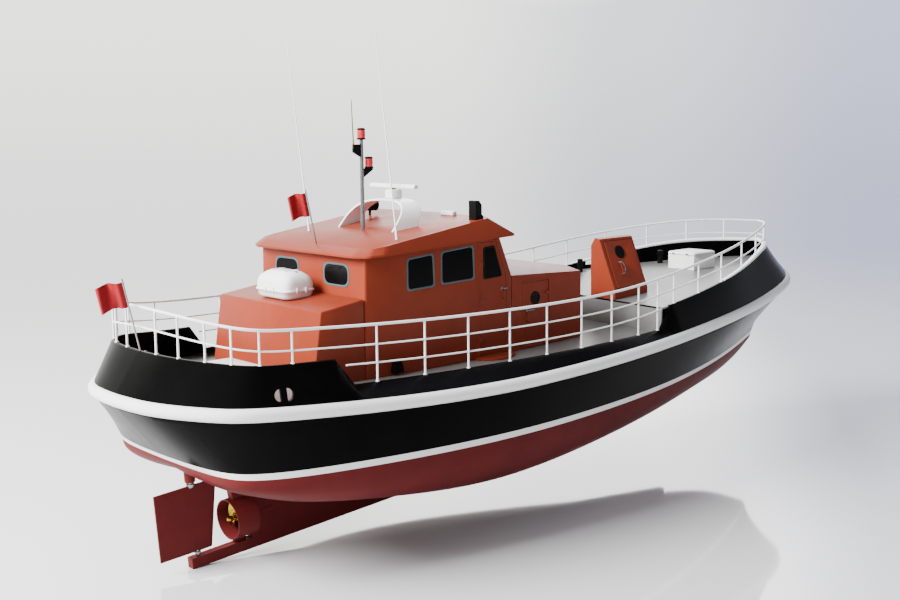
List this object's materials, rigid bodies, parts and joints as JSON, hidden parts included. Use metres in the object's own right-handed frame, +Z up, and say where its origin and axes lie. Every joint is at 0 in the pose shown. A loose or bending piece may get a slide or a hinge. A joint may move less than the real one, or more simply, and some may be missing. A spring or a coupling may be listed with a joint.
{
  "type": "stern trawler",
  "caption": "Small steel stern trawler with a raised foredeck, aft wheelhouse, railed bulwarks, radar arch, deep rudder and a propeller in a ring.",
  "frame": {"origin": "on the centreline at the design waterline, amidships", "axes": "+X forward along the hull, +Y to port, +Z up from the waterline"},
  "size_m": [16.3978, 5.425, 7.6905],
  "materials": {
    "black_paint": "semi-gloss",
    "antifouling": "matt",
    "white_paint": "semi-gloss",
    "rail_paint": "semi-gloss",
    "orange_paint": "semi-gloss",
    "moulded_white": "gloss",
    "brass": "polished",
    "steel": "satin",
    "dark_glass": "gloss",
    "lamp_red": "gloss",
    "black_trim": "satin",
    "flag_cloth": "matt"
  },
  "bodies": {
    "hull": {"hull_bottom": "antifouling", "boot_stripe": "white_paint", "hull_topsides": "black_paint", "rub_rail": "white_paint", "keel_bar": "antifouling", "nozzle": "antifouling", "bulwark": "black_paint", "rails": "rail_paint", "aft_trunk": "orange_paint", "wheelhouse": "orange_paint", "roof": "orange_paint", "forward_trunk": "orange_paint", "glass_aft": "dark_glass", "glass_front": "dark_glass", "companion": "orange_paint", "fore_hatch_coaming": "white_paint", "aft_hatch_coaming": "white_paint", "liferaft": "moulded_white", "mast": "steel", "lamp_top": "lamp_red", "lamp_side": "lamp_red", "whip_port": "moulded_white", "whip_starboard": "moulded_white", "radar_arch": "moulded_white", "radar_gearbox": "moulded_white", "searchlight": "black_trim", "exhaust_box": "black_trim", "roof_box": "moulded_white", "flag_stern_staff": "steel", "flag_stern": "flag_cloth", "flag_roof_staff": "steel", "flag_roof": "flag_cloth", "bitt_aft": "black_trim", "bitt_fore": "black_trim", "door_step": "orange_paint", "vent": "black_trim"},
    "rudder": {"rudder": "antifouling"},
    "propeller": {"propeller": "brass"},
    "scanner": {"radar_scanner": "moulded_white"},
    "starboard_door": {"door_starboard": "orange_paint", "door_glass_starboard": "dark_glass"},
    "port_door": {"door_port": "orange_paint", "door_glass_port": "dark_glass"},
    "front_door": {"door_front": "orange_paint", "door_glass_front": "dark_glass"},
    "scuttle_door": {"door_companion": "orange_paint", "door_glass_companion": "dark_glass"},
    "fore_lid": {"fore_hatch_lid": "white_paint"},
    "aft_lid": {"aft_hatch_lid": "white_paint"}
  },
  "joints": [
    {"name": "rudder_turn", "type": "hinge", "parent": "hull", "child": "rudder", "pos_m": [-6.88, 0, -1.49], "axis": [-0.0698, 0, 0.9976], "range_deg": [-35, 35]},
    {"name": "propeller_spin", "type": "hinge", "parent": "hull", "child": "propeller", "pos_m": [-6.2, 0, -1.1], "axis": [0.9976, 0, 0.0698], "continuous": true},
    {"name": "scanner_spin", "type": "hinge", "parent": "hull", "child": "scanner", "pos_m": [-3.07, 0, 3.6006], "axis": [0, 0, 1], "continuous": true},
    {"name": "starboard_door_hinge", "type": "hinge", "parent": "hull", "child": "starboard_door", "pos_m": [-2.45, -1.3323, 0.98], "axis": [0, 0, 1], "range_deg": [-100, 0]},
    {"name": "port_door_hinge", "type": "hinge", "parent": "hull", "child": "port_door", "pos_m": [-2.45, 1.3323, 0.98], "axis": [0, 0, 1], "range_deg": [0, 100]},
    {"name": "front_door_hinge", "type": "hinge", "parent": "hull", "child": "front_door", "pos_m": [-0.86, -1.3323, 1.026], "axis": [0, 0, 1], "range_deg": [0, 100]},
    {"name": "scuttle_door_hinge", "type": "hinge", "parent": "hull", "child": "scuttle_door", "pos_m": [1.9, -1.14107, 1.63484], "axis": [0, 0.3854, 0.9227], "range_deg": [0, 90]},
    {"name": "fore_lid_hinge", "type": "hinge", "parent": "hull", "child": "fore_lid", "pos_m": [5.115, 0, 1.92629], "axis": [0, 1, 0], "range_deg": [0, 90]},
    {"name": "aft_lid_hinge", "type": "hinge", "parent": "hull", "child": "aft_lid", "pos_m": [-5.935, 0, 1.15912], "axis": [0, 1, 0], "range_deg": [0, 90]}
  ]
}
